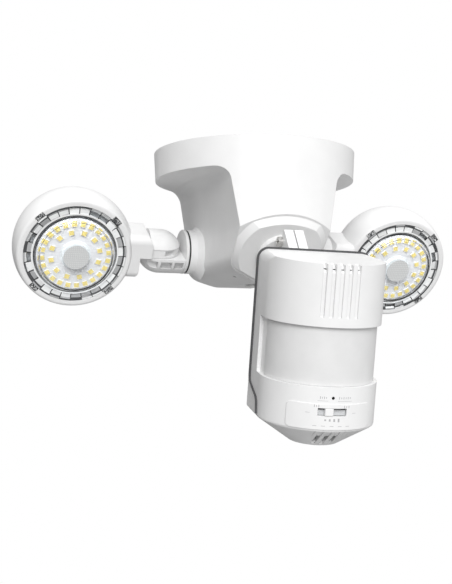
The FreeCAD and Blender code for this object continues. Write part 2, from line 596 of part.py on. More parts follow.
def sensor_arm():
    """Swivel disc, stub and split ball clamp in one moulding."""
    plate = rod(DISC_R, FOOT + ARM_NORMAL * DISC_BACK, FOOT + ARM_NORMAL * DISC_FRONT)
    plate = plate.makeChamfer(0.5, [e for e in plate.Edges if len(e.Vertexes) == 1])
    stub = rod(STUB_R, FOOT - ARM_NORMAL * 15.0, FOOT + ARM_NORMAL * DISC_BACK)
    center = FOOT + ARM_NORMAL * DISC_FRONT
    upper, lower = center + FACE_UP * 7.0, center - FACE_UP * 7.0
    jaws = prism_x(((-64.0, -54.0, 0.6), (-55.0, -66.0, 2.0), (upper.y, upper.z, 0),
                    (center.y + 1, center.z + 1, 0), (lower.y, lower.z, 0), (-46.0, -84.0, 4.0),
                    (-57.0, -89.0, 5.0), (-67.0, -87.0, 3.0), (-72.6, -80.0, 2.0),
                    (-72.6, -67.6, 0.5)), -CLAMP_HALF, CLAMP_HALF)
    neck = rod(8.0, center - ARM_NORMAL * 0.5, center + ARM_NORMAL * 9.0)
    arm = joined([plate, stub, neck, jaws]).cut(Part.makeSphere(BALL_R + 0.1, BALL))
    arm = arm.cut(stem_opening())
    gap_start = center + ARM_NORMAL * 3.0
    gap = moved(box(-CLAMP_GAP_HALF, CLAMP_GAP_HALF, -FAR, FAR, 0, FAR),
                FreeCAD.Placement(gap_start, FreeCAD.Rotation(X_AXIS, 135)))
    arm = arm.cut(gap)
    arm = arm.cut(rod(STUB_BORE_R, FOOT - ARM_NORMAL * 16, FOOT + ARM_NORMAL * 4.0))
    return arm.cut(rod(1.5, V(-FAR, CLAMP_SCREW_Y, CLAMP_SCREW_Z), V(FAR, CLAMP_SCREW_Y, CLAMP_SCREW_Z)))


def clamp_screw():
    start = V(-CLAMP_HALF, CLAMP_SCREW_Y, CLAMP_SCREW_Z)
    return cross_screw(start, V(CLAMP_HALF + 3.4, CLAMP_SCREW_Y, CLAMP_SCREW_Z), 1.5, 2.9, 2.2)


def clamp_nut():
    start = V(CLAMP_HALF, CLAMP_SCREW_Y, CLAMP_SCREW_Z)
    nut = hexagon(5.5, start, start + V(2.4, 0, 0))
    return nut.cut(rod(1.5, start - X_AXIS, start + X_AXIS * 4))


# ---------------------------------------------------------------- sensor head, in its own frame
def sensor_place():
    turn = FreeCAD.Rotation(Z_AXIS, SENSOR_PAN).multiply(
        FreeCAD.Rotation(X_AXIS, SENSOR_TILT)).multiply(FreeCAD.Rotation(Y_AXIS, SENSOR_ROLL))
    return FreeCAD.Placement(SENSOR_ORIGIN, turn)


def d_body(half_profile, rear):
    """Body with a half-round front: the half profile turned about the front axis and run to rear."""
    closed = ((0, half_profile[0][1], 0),) + half_profile + ((0, half_profile[-1][1], 0),)
    front = moved(turned(closed), FreeCAD.Placement(V(0, SENSOR_AXIS_Y, 0), FreeCAD.Rotation()))
    front = front.common(box(-FAR, FAR, -FAR, SENSOR_AXIS_Y, -FAR, FAR))
    return front.fuse(prism_y(mirrored_profile(half_profile), SENSOR_AXIS_Y, rear))


def above_roof(grow):
    """Wedge over the roof, which falls from the gasket to the front."""
    front = SENSOR_AXIS_Y - SENSOR_HALF
    return prism_x(((0, grow, 0), (3 * front, grow - 3 * ROOF_DROP, 0), (3 * front, FAR, 0),
                    (0, FAR, 0)), -FAR, FAR)


def round_cornered(grow):
    """Endless section with the roof's round corners, a hair outside the flat top and sides."""
    half, top = SENSOR_HALF + grow + SKIN_CLEAR, grow + SKIN_CLEAR
    corner = SENSOR_ROOF_R + grow + SKIN_CLEAR
    return prism_y(mirrored_profile(((half, top, corner), (half, -FAR, 0))), -FAR, FAR)


def sensor_hull(grow, rear_radius=0.0):
    """The sensor head without its lens band, with every side moved out by grow."""
    side, low = (SENSOR_HALF + grow, SKIRT_Z, 1.5), (FLOOR_R + grow, FLOOR_Z - grow, 1.5)
    front = d_body(((SENSOR_HALF + grow, grow, 0), side, low), SENSOR_AXIS_Y + 1.0)
    front = front.common(round_cornered(grow))
    section = mirrored_profile(((SENSOR_HALF + grow, grow, SENSOR_ROOF_R + grow), side, low))
    rear = prism_y(section, SENSOR_AXIS_Y, SENSOR_REAR_Y)
    if rear_radius:
        rear = rear.makeFillet(rear_radius, [e for e in rear.Edges if all(
            abs(v.Point.y - SENSOR_REAR_Y) < 1e-3 for v in e.Vertexes)])
    return front.fuse(rear).cut(above_roof(grow)).removeSplitter()


def sensor_outer():
    body = sensor_hull(0, SENSOR_REAR_R)
    inset = SENSOR_HALF - BAND_INSET
    band = d_body(((FAR, WINDOW_TOP, 0), (FAR, WINDOW_BOTTOM, 0)), BAND_START_Y)
    core = d_body(((inset, WINDOW_TOP + 1, 0), (inset, WINDOW_BOTTOM - 1, 0)), SENSOR_REAR_Y)
    return body.cut(band.cut(core))


def sensor_inner():
    wide, narrow = SENSOR_HALF - SENSOR_WALL, SENSOR_HALF - BAND_INSET - 1.2
    top, low = -SENSOR_WALL, FLOOR_Z + SENSOR_WALL
    hollow = d_body(((wide, top, 0), (wide, WINDOW_TOP + 1.8, 0), (narrow, WINDOW_TOP + 1.8, 0),
                     (narrow, WINDOW_BOTTOM - 1.8, 0), (wide, WINDOW_BOTTOM - 1.8, 0),
                     (wide, SKIRT_Z + 0.8, 1.0), (FLOOR_R - 1.0, low, 0)), SENSOR_REAR_Y - SENSOR_WALL)
    return hollow.common(round_cornered(-SENSOR_WALL)).cut(above_roof(-SENSOR_WALL))


def parting_side(shift, rear):
    """Everything in front of the parting line, or behind it, with the line moved along y by shift."""
    far = FAR if rear else -FAR
    line = [(y + shift, z, r) for y, z, r in PARTING]
    return prism_x([(far, line[0][1], 0)] + line + [(far, line[-1][1], 0)], -FAR, FAR)


def window_sector(radius, half_angle, top, bottom):
    """Wedge of a cylinder about the front axis, open to the front."""
    reach = math.radians(half_angle)
    side = (radius * math.sin(reach), -radius * math.cos(reach))
    full = rod(radius, V(0, 0, bottom), V(0, 0, top))
    wedge = prism_z(((0, 0, 0), (side[0] * 3, side[1] * 3, 0), (0, -radius * 9, 0),
                     (-side[0] * 3, side[1] * 3, 0)), bottom, top)
    return moved(full.common(wedge), FreeCAD.Placement(V(0, SENSOR_AXIS_Y, 0), FreeCAD.Rotation()))


def case_screw_places():
    return [(sx * CASE_SCREW_X, z) for sx in (-1, 1) for z in CASE_SCREW_HEIGHTS]


def sensor_front_shell():
    shell = sensor_outer().cut(sensor_inner()).common(parting_side(-GASKET_T / 2, False))
    for x, z in case_screw_places():
        post = tube(4.9, CASE_HOLE_R, V(x, -18, z), V(x, -GASKET_T / 2, z))
        shell = shell.fuse(post)
    shell = shell.cut(window_sector(SENSOR_HALF + 1, LENS_HALF_ANGLE, WINDOW_TOP, WINDOW_BOTTOM))
    for i in range(-2, 3):
        shell = shell.cut(groove(i * GROOVE_PITCH))
    panel = prism_y(mirrored_profile(((PANEL_HALF, PANEL_TOP, 2.0), (PANEL_HALF, PANEL_BOTTOM, 2.0))),
                    -FAR, SENSOR_AXIS_Y)
    ring = tube(SENSOR_HALF + PANEL_RISE, SENSOR_HALF - 1.0, V(0, SENSOR_AXIS_Y, -FAR / 2),
                V(0, SENSOR_AXIS_Y, 0))
    shell = shell.fuse(panel.common(ring))
    slot = prism_y(mirrored_profile(((SLOT_HALF, SLOT_Z + SLOT_HALF_H, 0.3),
                                     (SLOT_HALF, SLOT_Z - SLOT_HALF_H, 0.3))), -60, -40)
    shell = shell.cut(slot).cut(rod(0.8, V(0, -60, EYE_Z), V(0, -40, EYE_Z)))
    for i in range(-2, 3):
        shell = shell.cut(vent(i * GROOVE_PITCH, abs(i) < 2))
    return shell.removeSplitter()


def groove(x):
    """Upright drip groove at the front that runs up over the roof's edge."""
    front = SENSOR_AXIS_Y - math.sqrt(SENSOR_HALF ** 2 - x ** 2)
    half = GROOVE_WIDTH / 2
    upright = box(x - half, x + half, front - 1, front + GROOVE_DEPTH, GROOVE_BOTTOM, 1)
    over = moved(box(x - half, x + half, -5, 0, -5, 5), FreeCAD.Placement(
        V(0, front + 3.0, -5.0), FreeCAD.Rotation(X_AXIS, -45)))
    return upright.fuse(over)


def vent(x, through):
    """Groove down the sloping skirt below the switch, open at its lower half where it drains."""
    lean = math.degrees(math.atan2(SENSOR_HALF - FLOOR_R, SKIRT_Z - FLOOR_Z))
    start = V(x, SENSOR_AXIS_Y - SENSOR_HALF, SKIRT_Z)
    slot = box(-VENT_HALF, VENT_HALF, -3, VENT_DEPTH, VENT_LOW, VENT_TOP)
    if through:
        slot = slot.fuse(box(-VENT_HALF, VENT_HALF, -3, 6.0, DRAIN_LOW, DRAIN_TOP))
    return moved(slot, FreeCAD.Placement(start, FreeCAD.Rotation(X_AXIS, lean)))


def sensor_back_shell():
    shell = sensor_outer().cut(sensor_inner()).common(parting_side(GASKET_T / 2, True))
    ball = sensor_place().inverse().multVec(BALL)
    for x, z in case_screw_places():
        shell = shell.fuse(rod(4.1, V(x, GASKET_T / 2, z), V(x, SENSOR_REAR_Y - 1, z)))
    root = V(ball.x, SENSOR_REAR_Y - 1, ball.z)
    shell = shell.fuse(Part.makeCone(8.0, 4.2, 8.0, root, Y_AXIS))
    shell = shell.fuse(rod(4.2, root, ball)).fuse(Part.makeSphere(BALL_R, ball))
    shell = shell.cut(rod(BALL_CORE_R, ball - X_AXIS * BALL_R, ball + X_AXIS * BALL_R))
    for x, z in case_screw_places():
        shell = shell.cut(rod(CASE_HOLE_R, V(x, 0, z), V(x, CASE_SCREW_SEAT, z)))
        shell = shell.cut(rod(3.0, V(x, CASE_SCREW_SEAT, z), V(x, SENSOR_REAR_Y + 2, z)))
    return shell.removeSplitter()


def sensor_screw_list():
    return [cross_screw(V(x, CASE_SCREW_SEAT, z), V(x, -14, z), CASE_HOLE_R, 2.6, 1.9)
            for x, z in case_screw_places()]


def sensor_gasket():
    """Seal between the shells: it follows the parting line and stands a little proud."""
    proud = sensor_hull(GASKET_PROUD).common(box(-FAR, FAR, -FAR, FAR, SKIRT_Z + 1.5, FAR))
    wall = proud.fuse(sensor_hull(0)).cut(sensor_inner())
    strip = parting_side(GASKET_T / 2, False).cut(parting_side(-GASKET_T / 2, False))
    return wall.common(strip).removeSplitter()


def motion_lens():
    outer = SENSOR_HALF - BAND_INSET
    shown = window_sector(outer, LENS_HALF_ANGLE - 0.4, WINDOW_TOP - 0.1, WINDOW_BOTTOM + 0.1)
    lip = window_sector(outer - 1.3, LENS_HALF_ANGLE + 4, WINDOW_TOP + 1.6, WINDOW_BOTTOM - 1.6)
    core = rod(outer - 2.4, V(0, SENSOR_AXIS_Y, -FAR / 2), V(0, SENSOR_AXIS_Y, 0))
    return shown.fuse(lip).cut(core).removeSplitter()


def sensor_board():
    board = prism_y(mirrored_profile(((26.0, -5.5, 3.0), (26.0, -66.0, 3.0))), BOARD_FRONT_Y,
                    BOARD_REAR_Y)
    for x, z in case_screw_places():
        board = board.cut(rod(5.1, V(x, -5, z), V(x, 0, z)))
    return board


def pyro_detector():
    seat = V(0, BOARD_FRONT_Y, PYRO_Z)
    can = rod(4.6, seat, seat - Y_AXIS * 4.2).fuse(rod(5.0, seat, seat - Y_AXIS * 0.8))
    window = box(-2.0, 2.0, seat.y - 4.4, seat.y - 4.0, PYRO_Z - 1.6, PYRO_Z + 1.6)
    return can.cut(window)


def light_sensor():
    front = SENSOR_AXIS_Y - SENSOR_HALF
    pipe = rod(0.8, V(0, front + 0.4, EYE_Z), V(0, front + 3.5, EYE_Z))
    return pipe.fuse(rod(2.4, V(0, front + 3.0, EYE_Z), V(0, front + 8.0, EYE_Z)))


def switch_body():
    """Switch behind the slot; its raised face fills the slot up to the slider's slit."""
    front = SENSOR_AXIS_Y - SENSOR_HALF
    case = box(-11, 11, front + 5.6, front + 11, SLOT_Z - 3.5, SLOT_Z + 3.5)
    face = box(-SLOT_HALF + 0.2, SLOT_HALF - 0.2, front + 1.7, front + 5.6,
               SLOT_Z - SLOT_HALF_H + 0.2, SLOT_Z + SLIT_LOW)
    return case.fuse(face).removeSplitter()


def mode_slider():
    front = SENSOR_AXIS_Y - SENSOR_HALF
    face = front - PANEL_RISE - 0.4
    low, high = SLOT_Z - SLOT_HALF_H + 0.15, SLOT_Z + SLOT_HALF_H - 0.15
    knob = box(SLIDER_X - SLIDER_HALF, SLIDER_X + SLIDER_HALF, face, front + 1.4, low, high)
    knob = knob.makeFillet(0.35, [e for e in knob.Edges if abs(e.CenterOfMass.y - face) < 1e-3])
    stem = box(SLIDER_X - 1.2, SLIDER_X + 1.2, front + 1.0, front + 5.3, SLOT_Z + SLIT_LOW + 0.15, high)
    return knob.fuse(stem).removeSplitter()


# ---------------------------------------------------------------- the whole light
def all_nodes():
    nodes = {make.__name__: make() for make in (
        canopy_body, canopy_gasket, mounting_strap, center_bolt, bolt_plug, ground_screw,
        cover_plate, cover_plate_screws, wire_grommet, driver_module, sensor_arm, clamp_screw,
        clamp_nut)}
    for side in ("left", "right"):
        nodes.update(side_pieces(side))
    nodes["sensor_arm_seal"] = arm_seal(FOOT + ARM_NORMAL * (DISC_BACK - SEAL_T),
                                        ARM_NORMAL, DISC_R)
    nodes["sensor_arm_washer"], nodes["sensor_arm_nut"] = washer_and_nut(
        FOOT - ARM_NORMAL * (WALL + SEAT_GAP), ARM_NORMAL)
    place = sensor_place()
    for make in (sensor_back_shell, sensor_gasket, sensor_front_shell, motion_lens, sensor_board,
                 pyro_detector, light_sensor, switch_body, mode_slider):
        nodes[make.__name__] = moved(make(), place)
    nodes["sensor_screws"] = moved(Part.makeCompound(sensor_screw_list()), place)
    return nodes


os.makedirs("parts", exist_ok=True)
for node, solid in all_nodes().items():
    solid.exportStep("parts/" + node + ".step")
    print(node, solid.isValid(), len(solid.Solids), round(solid.Volume))
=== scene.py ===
"""Looks of the twin-head security light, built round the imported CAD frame. Lengths are in metres."""
import bpy
import bmesh
import json
import math
import random
from mathutils import Matrix, Vector


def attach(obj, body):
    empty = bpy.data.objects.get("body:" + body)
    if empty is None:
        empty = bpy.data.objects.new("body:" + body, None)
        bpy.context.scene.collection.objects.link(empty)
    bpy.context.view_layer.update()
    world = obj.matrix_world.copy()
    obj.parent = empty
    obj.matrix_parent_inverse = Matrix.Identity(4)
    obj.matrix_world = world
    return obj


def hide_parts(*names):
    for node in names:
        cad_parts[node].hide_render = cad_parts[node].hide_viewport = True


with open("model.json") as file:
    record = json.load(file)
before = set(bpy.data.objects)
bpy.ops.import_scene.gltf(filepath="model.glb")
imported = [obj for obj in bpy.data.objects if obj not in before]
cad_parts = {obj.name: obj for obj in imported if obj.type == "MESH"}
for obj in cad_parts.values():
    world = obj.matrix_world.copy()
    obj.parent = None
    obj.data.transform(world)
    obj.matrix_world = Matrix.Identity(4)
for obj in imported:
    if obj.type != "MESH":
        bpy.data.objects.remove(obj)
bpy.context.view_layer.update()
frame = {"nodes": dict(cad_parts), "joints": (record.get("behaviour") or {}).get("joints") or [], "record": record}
RECORD = frame["record"]
MM = 0.001

# ---- places that follow the CAD design
HEAD_TILT = math.radians(30.0)
HEAD_PAN = math.radians(-2.0)
BOWL_OFFSET = 54.1 * MM                 # bowl centre from the knuckle centre, along the arm
SENSOR_ORIGIN = Vector((0.5, -93.3, -69.5)) * MM
SENSOR_PAN, SENSOR_TILT, SENSOR_ROLL = (math.radians(a) for a in (-7.7, 10.9, 1.8))
SENSOR_R = 30.7 * MM
SENSOR_AXIS_Y = -21.5 * MM
PANEL_RISE = 0.5 * MM
PANEL_HALF, PANEL_TOP, PANEL_BOTTOM = 21.5 * MM, -71.8 * MM, -84.6 * MM
LED_RINGS = ((12, 15.0 * MM, 15.0), (24, 20.4 * MM, 7.5))   # count, radius, start angle
LED_SIDE = 3.3 * MM
PAD_INSET = 0.16 * MM
BOARD_TOP = 12.6 * MM
RING_INNER, RING_OUTER, RING_TOP, RING_FOOT = 25.4 * MM, 31.05 * MM, 12.2 * MM, 9.0 * MM
RING_CELLS = 28
RING_PARTS = ((0.00, "gap"), (0.03, "gap"), (0.06, "cell"), (0.36, "cell"), (0.66, "cell"), (0.97, "cell"))
GAP_DEPTH, CELL_DEPTH = 1.7 * MM, 0.5 * MM      # below the top of the ring
SLOPE_MM, TWIST_MM = 0.35, 0.5                  # most that a cell's face leans each way
CLEAR, PAINTED_SHADE, PAINTED_HALF_SHADE, PAINTED_LIGHT, PAINTED_SHADOW, PAINTED_FACET_SHADE = range(6)   # places in the ring's list of materials; all but CLEAR are painted light and shade
CELL_LOOKS = ((PAINTED_LIGHT, PAINTED_LIGHT, PAINTED_SHADOW, PAINTED_FACET_SHADE), (PAINTED_LIGHT, PAINTED_LIGHT, PAINTED_HALF_SHADE, PAINTED_SHADOW),
              (PAINTED_FACET_SHADE, PAINTED_LIGHT, PAINTED_FACET_SHADE, PAINTED_SHADOW), (PAINTED_LIGHT, PAINTED_FACET_SHADE, PAINTED_SHADOW, PAINTED_SHADOW),
              (PAINTED_LIGHT, PAINTED_HALF_SHADE, PAINTED_LIGHT, PAINTED_FACET_SHADE), (PAINTED_FACET_SHADE, PAINTED_FACET_SHADE, PAINTED_SHADOW, PAINTED_LIGHT),
              (PAINTED_LIGHT, PAINTED_LIGHT, PAINTED_LIGHT, PAINTED_HALF_SHADE))      # each step of a cell, inside to outside, in painted light and shade
# Faces round each radial line: painted light on the inner wall, inner land and bottom, painted shade on the outer
# wall; the four CLEAR faces are set per cell.
COLUMN_LOOKS = (PAINTED_LIGHT, PAINTED_LIGHT, CLEAR, CLEAR, CLEAR, CLEAR, PAINTED_SHADE, PAINTED_LIGHT)
# Tab tops: mostly painted shade, with specks of painted highlight.
TAB_LOOKS = (PAINTED_SHADOW, PAINTED_SHADOW, PAINTED_SHADOW, PAINTED_SHADE, PAINTED_FACET_SHADE, PAINTED_LIGHT, PAINTED_HALF_SHADE)
TAB_HALF, TAB_REACH, TAB_TOP, TAB_FOOT = 2.9 * MM, 33.8 * MM, 12.25 * MM, 10.6 * MM
TAB_STEPS, TAB_EDGE = 10, 0.25 * MM
DIMPLE_Y, DIMPLE_R, DIMPLE_DEPTH = 1.3 * MM, 0.75 * MM, 0.7 * MM
CUP_PROFILE = ((0, 17.0), (7.7, 17.0), (21.9, 17.0), (22.25, 16.9), (22.45, 16.6), (24.9, 12.5), (25.3, 11.5),
               (25.3, 8.9), (28.8, 8.9), (28.8, 7.7), (24.3, 7.7), (24.3, 11.4), (21.4, 15.75),
               (21.0, 16.0), (0, 16.0))         # radius and height of the clear cup, millimetres
CUP_SPOKES = 128
CUP_BANDS = {0: 2, 3: 1, 5: 1}                  # profile steps that are not clear: the spot, and painted shadow rings on the front and foot edges
TRAY_TOP, TRAY_EDGE, TRAY_RIM, PAD_SINK = 0.72 * MM, 0.06 * MM, 0.11 * MM, 0.14 * MM
PAD_CROWN = 0.16 * MM
INK_LIFT, INK_DEPTH = 0.04 * MM, 0.05 * MM
TICK_ROWS = ((-5.0, -68.5, 4, 1.0), (6.2, -68.5, 6, 1.2), (-8.2, -72.7, 3, 1.1),
             (7.4, -72.9, 3, 1.3))              # middle x and z, count and pitch, millimetres
TICK_HEIGHTS = (1.3, 0.9, 1.2, 0.8, 1.1, 0.9)
TICK_WIDTH = 0.32 * MM
UNDERLINES = ((-5.2, -70.1, 5.4), (6.4, -70.1, 7.8))  # middle x and z, width


# ---------------------------------------------------------------- material helpers
class Graph:
    """A material's node tree, with short calls for the nodes that repeat."""

    def __init__(self, name):
        self.material = bpy.data.materials.new(name)
        self.material.use_nodes = True
        self.tree = self.material.node_tree
        self.shader = self.tree.nodes["Principled BSDF"]
        self.place = self.tree.nodes.new("ShaderNodeTexCoord").outputs["Object"]

    def node(self, kind, inputs=(), **settings):
        made = self.tree.nodes.new("ShaderNode" + kind)
        for key, value in settings.items():
            setattr(made, key, value)
        for key, value in dict(inputs).items():
            if isinstance(value, bpy.types.NodeSocket):
                self.tree.links.new(value, made.inputs[key])
            else:
                made.inputs[key].default_value = value
        return made

    def noise(self, size, detail=3.0, roughness=0.5):
        return self.node("TexNoise", {"Vector": self.place, "Scale": 1.0 / size, "Detail": detail,
                                      "Roughness": roughness}).outputs["Fac"]

    def cells(self, size):
        return self.node("TexVoronoi", {"Vector": self.place, "Scale": 1.0 / size}).outputs["Distance"]

    def span(self, value, low, high, start=0.3, end=0.7):
        return self.node("MapRange", {"Value": value, "From Min": start, "From Max": end,
                                      "To Min": low, "To Max": high}).outputs["Result"]

    def blend(self, factor, first, second):
        made = self.node("Mix", data_type="RGBA")
        self.tree.links.new(factor, made.inputs["Factor"])
        for index, value in ((6, first), (7, second)):
            if isinstance(value, bpy.types.NodeSocket):
                self.tree.links.new(value, made.inputs[index])
            else:
                made.inputs[index].default_value = (*value, 1.0)
        return made.outputs[2]

    def bump(self, height, distance, strength=1.0, edge=0.0):
        made = self.node("Bump", {"Height": height, "Distance": distance, "Strength": strength})
        if edge:
            rounded = self.node("Bevel", {"Radius": edge}, samples=4)
            self.tree.links.new(rounded.outputs["Normal"], made.inputs["Normal"])
        return made.outputs["Normal"]

    def set(self, **values):
        for key, value in values.items():
            socket = self.shader.inputs[key.replace("_", " ")]
            if isinstance(value, bpy.types.NodeSocket):
                self.tree.links.new(value, socket)
            elif socket.type == "RGBA":
                socket.default_value = (*value, 1.0)
            else:
                socket.default_value = value
        return self.material


def shade(color, factor):
    return tuple(c * factor for c in color)


def plastic(name, color, roughness, grain=0.5 * MM, depth=0.006 * MM, edge=0.35 * MM):
    """Moulded plastic: spark-eroded grain, faint flow mottling, uneven polish."""
    g = Graph(name)
    flow = g.span(g.noise(14 * MM, 2.0), 0.0, 1.0)
    polish = g.noise(5 * MM, 3.0)
    fine = g.noise(grain, 2.0, 0.6)
    return g.set(Base_Color=g.blend(flow, shade(color, 0.965), color),
                 Roughness=g.span(polish, roughness - 0.05, roughness + 0.06),
                 Normal=g.bump(fine, depth, 1.0, edge))


def metal(name, color, roughness, brush=0.25 * MM, edge=0.15 * MM):
    """Plated metal with fine drawing marks and slight tarnish."""
    g = Graph(name)
    tarnish = g.span(g.noise(2.5 * MM, 4.0), 0.0, 1.0)
    marks = g.noise(brush, 2.0, 0.7)
    return g.set(Base_Color=g.blend(tarnish, shade(color, 0.82), color), Metallic=1.0,
                 Roughness=g.span(tarnish, roughness + 0.12, roughness - 0.03),
                 Normal=g.bump(marks, 0.008 * MM, 1.0, edge))


def rubber(name, color, roughness=0.75, pore=0.35 * MM, depth=0.02 * MM):
    """Soft rubber or foam with open pores and a dusty bloom."""
    g = Graph(name)
    bloom = g.span(g.noise(3 * MM, 4.0), 0.0, 1.0)
    pores = g.cells(pore)
    return g.set(Base_Color=g.blend(bloom, color, shade(color, 1.35)), Roughness=roughness,
                 Normal=g.bump(pores, depth, 0.8))


def clear(name, tint, roughness, haze=1.2 * MM, depth=0.004 * MM):
    """Clear polycarbonate with faint moulding ripple; lamps shine through it."""
    g = Graph(name)
    ripple = g.noise(haze, 2.0)
    g.set(Base_Color=tint, Roughness=roughness, Transmission_Weight=1.0, IOR=1.5,
          Normal=g.bump(ripple, depth, 1.0))
    passing = g.node("BsdfTransparent", {"Color": (*shade(tint, 0.96), 1.0)})
    ray = g.node("LightPath")
    mixed = g.node("MixShader", {"Fac": ray.outputs["Is Shadow Ray"]})
    g.tree.links.new(g.shader.outputs[0], mixed.inputs[1])
    g.tree.links.new(passing.outputs[0], mixed.inputs[2])
    g.tree.links.new(mixed.outputs[0], g.tree.nodes["Material Output"].inputs["Surface"])
    return g.material


def opal_lens():
    """Milky polyethylene with light scattering under its skin."""
    g = Graph("opal_lens")
    cloud = g.span(g.noise(9 * MM, 3.0), 0.0, 1.0)
    fine = g.noise(0.4 * MM, 2.0)
    return g.set(Base_Color=g.blend(cloud, (0.69, 0.69, 0.69), (0.72, 0.72, 0.72)),
                 Roughness=g.span(cloud, 0.42, 0.5), Subsurface_Weight=0.25,
                 Subsurface_Radius=(0.002, 0.002, 0.002), Subsurface_Scale=0.6,
                 Normal=g.bump(fine, 0.004 * MM))


def phosphor():
    """Yellow phosphor gel, grainy and slightly uneven."""
    g = Graph("led_phosphor")
    grains = g.span(g.noise(0.35 * MM, 4.0, 0.7), 0.0, 1.0)
    return g.set(Base_Color=g.blend(grains, (0.84, 0.66, 0.17), (0.92, 0.78, 0.30)),
                 Roughness=0.38, Normal=g.bump(grains, 0.02 * MM, 0.6))


def solder_mask(name, color, trace):
    """Board lacquer over faint copper tracks."""
    g = Graph(name)
    bricks = g.node("TexBrick", {"Vector": g.place, "Scale": 220.0, "Mortar Size": 0.02,
                                 "Color1": (1, 1, 1, 1), "Color2": (1, 1, 1, 1),
                                 "Mortar": (0, 0, 0, 1)})
    speck = g.span(g.noise(0.8 * MM, 3.0), 0.0, 1.0)
    ground = g.blend(speck, shade(color, 0.96), color)
    return g.set(Base_Color=g.blend(bricks.outputs["Fac"], ground, trace), Roughness=0.32,
                 Normal=g.bump(bricks.outputs["Fac"], 0.03 * MM, -0.5))


def frosted_spot():
    """Grey frosted spot with a fine crossed prism texture."""
    g = Graph("frosted_spot")
    waves = []
    for direction in ("X", "Z"):
        wave = g.node("TexWave", {"Vector": g.place, "Scale": 260.0}, bands_direction=direction)
        waves.append(wave.outputs["Fac"])
    crossed = g.node("Math", {0: waves[0], 1: waves[1]}, operation="MULTIPLY").outputs[0]
    return g.set(Base_Color=g.blend(crossed, (0.58, 0.59, 0.59), (0.72, 0.73, 0.73)),
                 Roughness=0.35, Normal=g.bump(crossed, 0.12 * MM, 0.7))


WHITE = (0.80, 0.80, 0.80)
MATERIALS = {
    "white_housing": plastic("white_housing", WHITE, 0.34),
    "white_joint": plastic("white_joint", (0.77, 0.77, 0.77), 0.42),
    "foam_seal": rubber("foam_seal", (0.05, 0.05, 0.053), 0.9, 0.5 * MM, 0.06 * MM),
    "zinc_steel": metal("zinc_steel", (0.62, 0.63, 0.65), 0.32),
    "nickel_screw": metal("nickel_screw", (0.72, 0.71, 0.69), 0.24),
    "white_rubber": rubber("white_rubber", (0.66, 0.66, 0.65), 0.6, 0.3 * MM, 0.01 * MM),
    "green_screw": metal("green_screw", (0.05, 0.30, 0.11), 0.34),
    "inner_plastic": plastic("inner_plastic", (0.60, 0.60, 0.58), 0.5),
    "black_rubber": rubber("black_rubber", (0.018, 0.018, 0.018), 0.6),
    "driver_case": plastic("driver_case", (0.02, 0.02, 0.022), 0.45),
    "heatsink": metal("heatsink", (0.66, 0.67, 0.69), 0.36),
    "board_white": solder_mask("board_white", (0.80, 0.80, 0.81), (0.72, 0.72, 0.73)),
    "led_phosphor": phosphor(),
    "reflector": plastic("reflector", (0.80, 0.83, 0.84), 0.3, edge=0.1 * MM),
    "clear_plastic": clear("clear_plastic", (0.97, 0.98, 0.99), 0.02),
    "opal_lens": opal_lens(),
    "sensor_seal": rubber("sensor_seal", (0.055, 0.055, 0.058), 0.7),
    "board_green": solder_mask("board_green", (0.02, 0.16, 0.07), (0.04, 0.24, 0.10)),
    "nickel_can": metal("nickel_can", (0.70, 0.69, 0.67), 0.2),
    "sensor_black": plastic("sensor_black", (0.008, 0.008, 0.008), 0.2),
    "switch_grey": plastic("switch_grey", (0.56, 0.57, 0.58), 0.4),
    "slider_white": plastic("slider_white", (0.80, 0.80, 0.80), 0.3, edge=0.2 * MM),
}
INK = plastic("ink", (0.42, 0.42, 0.43), 0.55, edge=0.0)
# Painted shade: clear plastic tinted near black, standing in for the dark refraction on the tabs and on the ring's
# outer wall.
SHADE_TINTED_CLEAR = clear("painted_shade_clear", (0.16, 0.165, 0.17), 0.05)
# Painted light: opaque white standing in for highlights and for the white ledge seen through the clear ring.
LIGHT_PAINTED_WHITE = plastic("painted_light_white", (0.86, 0.87, 0.87), 0.3, edge=0.0)
# Painted shadow: opaque near black for the ring's gaps and the cup's edge rings.
SHADOW_LINE = plastic("shadow_line", (0.07, 0.072, 0.075), 0.12, edge=0.0)
# Painted shade: opaque glossy grey standing in for the darker refraction of some cell and tab faces.
SHADE_PAINTED_FACET = plastic("painted_shade_facet", (0.42, 0.425, 0.43), 0.15, edge=0.0)
# Painted half shade: clear plastic tinted mid grey for the darker ring cells and tab specks.
HALF_SHADE_CLEAR = clear("painted_half_shade_clear", (0.62, 0.64, 0.66), 0.03)
FROSTED_SPOT = frosted_spot()
CERAMIC = plastic("led_ceramic", (0.78, 0.78, 0.76), 0.4, edge=0.05 * MM)


# ---------------------------------------------------------------- mesh helpers
def piece(name, shape, body, materials, place=Matrix.Identity(4)):
    """New object from a bmesh, riding on a CAD body."""
    mesh = bpy.data.meshes.new(name)
    bmesh.ops.recalc_face_normals(shape, faces=shape.faces)
    shape.to_mesh(mesh)
    shape.free()
    mesh.transform(place)
    made = bpy.data.objects.new(name, mesh)
    bpy.context.scene.collection.objects.link(made)
    for material in materials:
        mesh.materials.append(material)
    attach(made, body)
    return made


def lamp_place(side):
    """From bowl coordinates, z out of the front, to the row frame."""
    joint = next(j for j in frame["joints"] if j["name"] == side + "_head_pan")
    sign = -1 if side == "left" else 1
    return (Matrix.Translation(joint["pos_m"]) @ Matrix.Rotation(HEAD_TILT, 4, "X")
            @ Matrix.Rotation(HEAD_PAN, 4, "Z") @ Matrix.Translation((sign * BOWL_OFFSET, 0, 0))
            @ Matrix.Rotation(math.pi / 2, 4, "X"))


def sensor_place():
    return (Matrix.Translation(SENSOR_ORIGIN) @ Matrix.Rotation(SENSOR_PAN, 4, "Z")
            @ Matrix.Rotation(SENSOR_TILT, 4, "X") @ Matrix.Rotation(SENSOR_ROLL, 4, "Y"))


